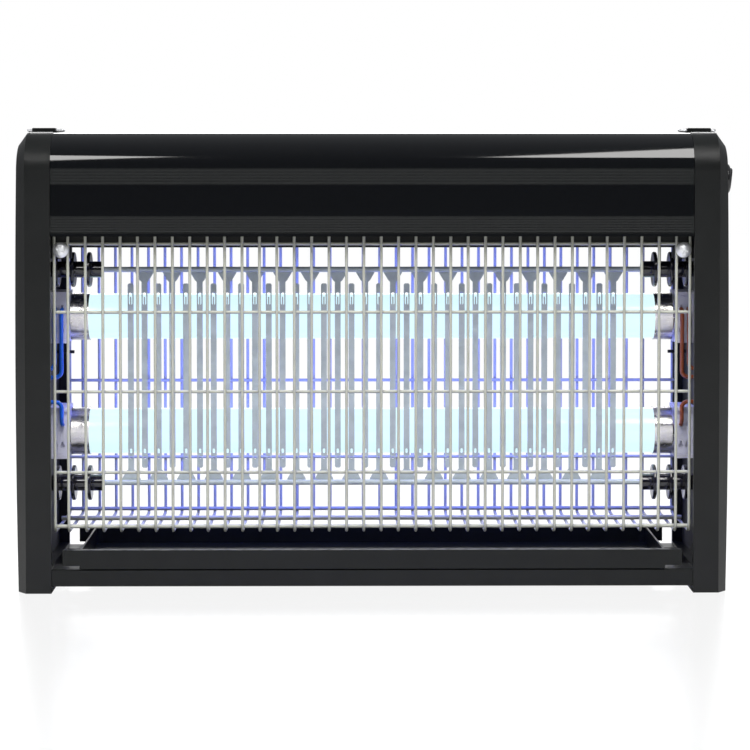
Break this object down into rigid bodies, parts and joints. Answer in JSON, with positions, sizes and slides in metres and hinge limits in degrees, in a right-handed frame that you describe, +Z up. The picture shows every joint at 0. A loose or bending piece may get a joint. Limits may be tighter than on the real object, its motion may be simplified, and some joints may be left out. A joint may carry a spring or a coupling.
{
  "type": "electric bug zapper",
  "caption": "Electric insect killer: lamps behind a wire guard, a high-voltage bar grid, black housing and end caps, slide-out catch tray, side switch and hanging rings.",
  "frame": {"origin": "bottom centre of the whole zapper's bounding box, on the surface it stands on", "axes": "+X along the lamps towards the switch, +Y to the back, +Z up; the front faces -Y"},
  "size_m": [0.3892, 0.089, 0.2488],
  "materials": {
    "cap_plastic": "fine moulded texture",
    "panel_plastic": "matt",
    "housing_lacquer": "gloss",
    "sheet_lacquer": "satin powder coat",
    "guard_coat": "satin",
    "zinc_screw": "bright zinc",
    "grid_steel": "satin",
    "insulator_black": "gloss",
    "lamp_glass": "frosted",
    "lamp_cap": "satin",
    "pin_brass": "bright",
    "holder_white": "gloss",
    "lead_blue": "satin",
    "lead_brown": "satin",
    "switch_gloss": "gloss",
    "ballast_steel": "satin",
    "board_green": "satin",
    "capacitor_blue": "satin"
  },
  "bodies": {
    "housing": {"cable_inlet_bush": "panel_plastic", "front_base_bar": "sheet_lacquer", "guard_rails": "guard_coat", "guard_screw_bosses": "panel_plastic", "guard_screws": "zinc_screw", "guard_wires": "guard_coat", "housing_bottom_plate": "sheet_lacquer", "hung_grid_bars": "grid_steel", "hv_board": "board_green", "hv_capacitors": "capacitor_blue", "hv_transformer": "ballast_steel", "left_ballast": "ballast_steel", "left_blue_leads": "lead_blue", "left_cap_screws": "zinc_screw", "left_end_cap": "cap_plastic", "left_inner_panel": "panel_plastic", "left_rear_peg": "panel_plastic", "left_ring_saddle": "cap_plastic", "lower_grid_rod": "grid_steel", "lower_left_insulator": "insulator_black", "lower_left_lampholder": "holder_white", "lower_right_insulator": "insulator_black", "lower_right_lampholder": "holder_white", "rear_base_bar": "sheet_lacquer", "right_ballast": "ballast_steel", "right_brown_leads": "lead_brown", "right_cap_screws": "zinc_screw", "right_end_cap": "cap_plastic", "right_inner_panel": "panel_plastic", "right_rear_peg": "panel_plastic", "right_ring_saddle": "cap_plastic", "standing_grid_bars": "grid_steel", "starter_sockets": "holder_white", "starters": "lamp_cap", "switch_bezel": "switch_gloss", "switch_body": "switch_gloss", "terminal_block": "holder_white", "top_housing": "housing_lacquer", "upper_grid_rod": "grid_steel", "upper_left_insulator": "insulator_black", "upper_left_lampholder": "holder_white", "upper_right_insulator": "insulator_black", "upper_right_lampholder": "holder_white"},
    "tray": {"catch_tray": "sheet_lacquer"},
    "rocker": {"switch_rocker": "switch_gloss"},
    "left_ring": {"left_hanging_ring": "zinc_screw"},
    "right_ring": {"right_hanging_ring": "zinc_screw"},
    "upper_lamp": {"upper_lamp_glass": "lamp_glass", "upper_lamp_end_caps": "lamp_cap", "upper_lamp_pins": "pin_brass", "upper_holder_rotors": "holder_white"},
    "lower_lamp": {"lower_lamp_glass": "lamp_glass", "lower_lamp_end_caps": "lamp_cap", "lower_lamp_pins": "pin_brass", "lower_holder_rotors": "holder_white"}
  },
  "joints": [
    {"name": "tray_slide", "type": "slide", "parent": "housing", "child": "tray", "axis": [0, -1, 0], "range_m": [0, 0.08]},
    {"name": "switch_rock", "type": "hinge", "parent": "housing", "child": "rocker", "pos_m": [0.19057, 0, 0.221], "axis": [0, 1, 0], "range_deg": [-12, 0]},
    {"name": "left_ring_fold", "type": "hinge", "parent": "housing", "child": "left_ring", "pos_m": [-0.18202, -0.002, 0.2475], "axis": [1, 0, 0], "range_deg": [0, 175]},
    {"name": "right_ring_fold", "type": "hinge", "parent": "housing", "child": "right_ring", "pos_m": [0.17517, -0.002, 0.2475], "axis": [1, 0, 0], "range_deg": [0, 175]},
    {"name": "upper_lamp_turn", "type": "hinge", "parent": "housing", "child": "upper_lamp", "pos_m": [-0.00343, 0.002, 0.1454], "axis": [1, 0, 0], "range_deg": [0, 90]},
    {"name": "lower_lamp_turn", "type": "hinge", "parent": "housing", "child": "lower_lamp", "pos_m": [-0.00343, 0.002, 0.0822], "axis": [1, 0, 0], "range_deg": [0, 90]}
  ]
}
